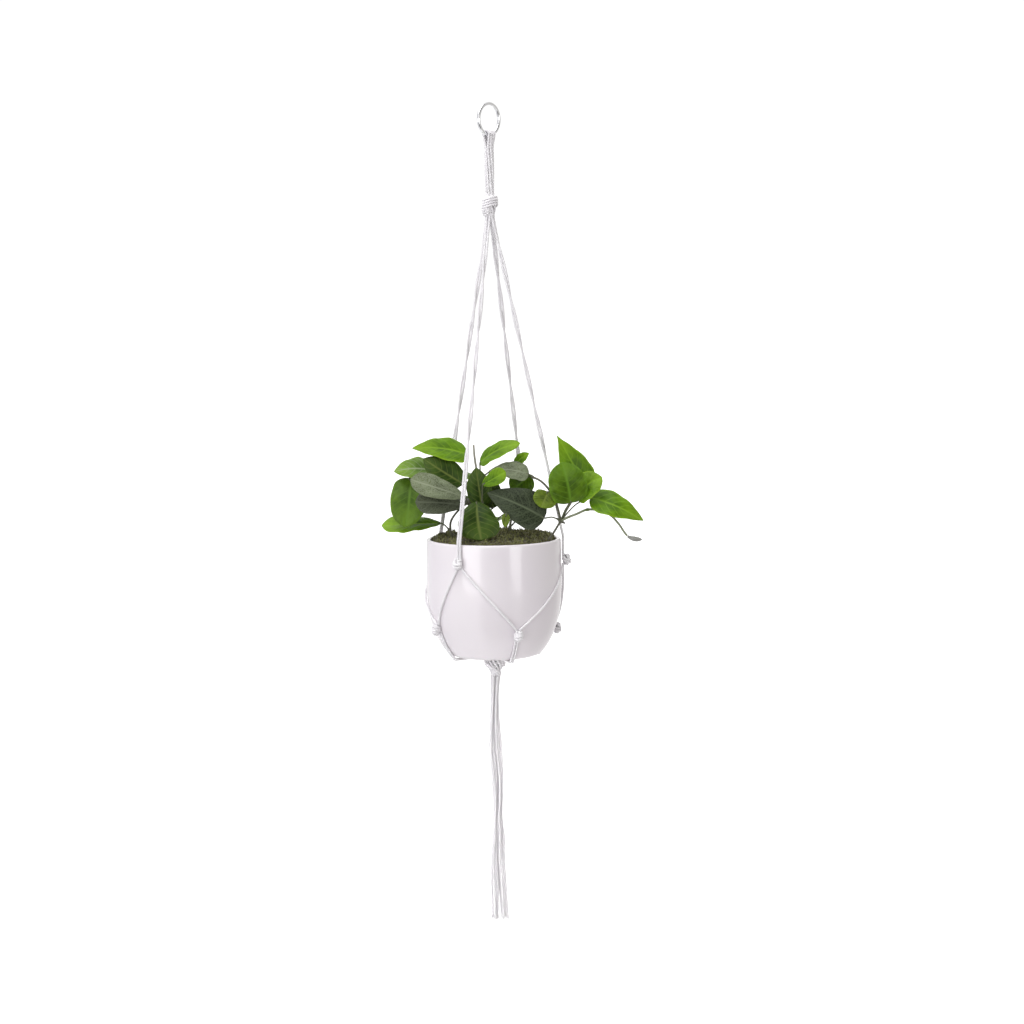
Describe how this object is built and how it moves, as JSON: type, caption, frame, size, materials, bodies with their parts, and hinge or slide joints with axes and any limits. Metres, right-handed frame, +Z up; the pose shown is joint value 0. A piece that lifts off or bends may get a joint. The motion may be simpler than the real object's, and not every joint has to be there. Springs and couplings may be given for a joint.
{
  "type": "hanging planter",
  "caption": "Hanging planter: a knotted cord sling from a metal ring holds a round glazed pot of leafy plants, with a long tail of loose cord ends below.",
  "frame": {"origin": "where a hook bears on the inside of the ring's top", "axes": "+Z up along the hanger, -Y the front, +X to the right seen from the front"},
  "size_m": [0.2885, 0.1702, 0.9054],
  "materials": {
    "ring_steel": "polished",
    "cotton_cord": "twisted cotton, matt",
    "white_glaze": "glossy",
    "soil": "bark mix and moss, matt",
    "stem": "matt",
    "twig": "matt",
    "leaf_green": "satin",
    "leaf_silver": "satin",
    "leaf_dark": "satin"
  },
  "bodies": {
    "ring": {"hang_ring": "ring_steel"},
    "neck": {"neck_cords": "cotton_cord"},
    "hanger": {"top_knot": "cotton_cord", "leg_1": "cotton_cord", "leg_2": "cotton_cord", "leg_3": "cotton_cord", "leg_4": "cotton_cord", "mid_knot_1": "cotton_cord", "mid_knot_2": "cotton_cord", "mid_knot_3": "cotton_cord", "mid_knot_4": "cotton_cord", "net_strand_1": "cotton_cord", "net_strand_2": "cotton_cord", "net_strand_3": "cotton_cord", "net_strand_4": "cotton_cord", "net_strand_5": "cotton_cord", "net_strand_6": "cotton_cord", "net_strand_7": "cotton_cord", "net_strand_8": "cotton_cord", "lower_knot_1": "cotton_cord", "lower_knot_2": "cotton_cord", "lower_knot_3": "cotton_cord", "lower_knot_4": "cotton_cord", "under_strands_1": "cotton_cord", "under_strands_2": "cotton_cord", "under_strands_3": "cotton_cord", "under_strands_4": "cotton_cord", "bottom_knot": "cotton_cord"},
    "tail": {"tail_strand_1": "cotton_cord", "tail_strand_2": "cotton_cord", "tail_strand_3": "cotton_cord", "tail_strand_4": "cotton_cord", "tail_strand_5": "cotton_cord", "tail_strand_6": "cotton_cord", "tail_strand_7": "cotton_cord", "tail_strand_8": "cotton_cord"},
    "planted_pot": {"pot": "white_glaze", "soil": "soil", "sprig_stems_1": "stem", "sprig_stems_2": "stem", "sprig_stems_3": "stem", "sprig_stems_4": "stem", "sprig_stems_5": "stem", "sprig_stems_6": "stem", "sprig_stems_7": "stem", "sprig_leaves_1": "leaf_green", "sprig_leaves_2": "leaf_silver", "sprig_leaves_3": "leaf_green", "sprig_leaves_4": "leaf_dark", "sprig_leaves_5": "leaf_green", "sprig_leaves_6": "leaf_green", "sprig_leaves_7": "leaf_green", "twig_bud": "twig"}
  },
  "joints": [
    {"name": "hanger_swing", "type": "hinge", "parent": "ring", "child": "neck", "pos_m": [0, 0, -0.032], "axis": [0.6428, 0.766, 0], "range_deg": [-30, 30]},
    {"name": "hanger_twist", "type": "hinge", "parent": "neck", "child": "hanger", "pos_m": [0, 0, -0.096], "axis": [0, 0, 1], "range_deg": [-180, 180], "stiffness_Nm_per_rad": 0.02, "deforming": ["neck_cords"]},
    {"name": "tail_swing", "type": "hinge", "parent": "hanger", "child": "tail", "pos_m": [0, 0, -0.63], "axis": [0, 1, 0], "range_deg": [-25, 25], "deforming": ["tail_strand_1", "tail_strand_2", "tail_strand_3", "tail_strand_4", "tail_strand_5", "tail_strand_6", "tail_strand_7", "tail_strand_8"]},
    {"name": "pot_turn", "type": "hinge", "parent": "hanger", "child": "planted_pot", "pos_m": [0, 0, -0.605], "axis": [0, 0, 1], "range_deg": [-10, 10]}
  ]
}
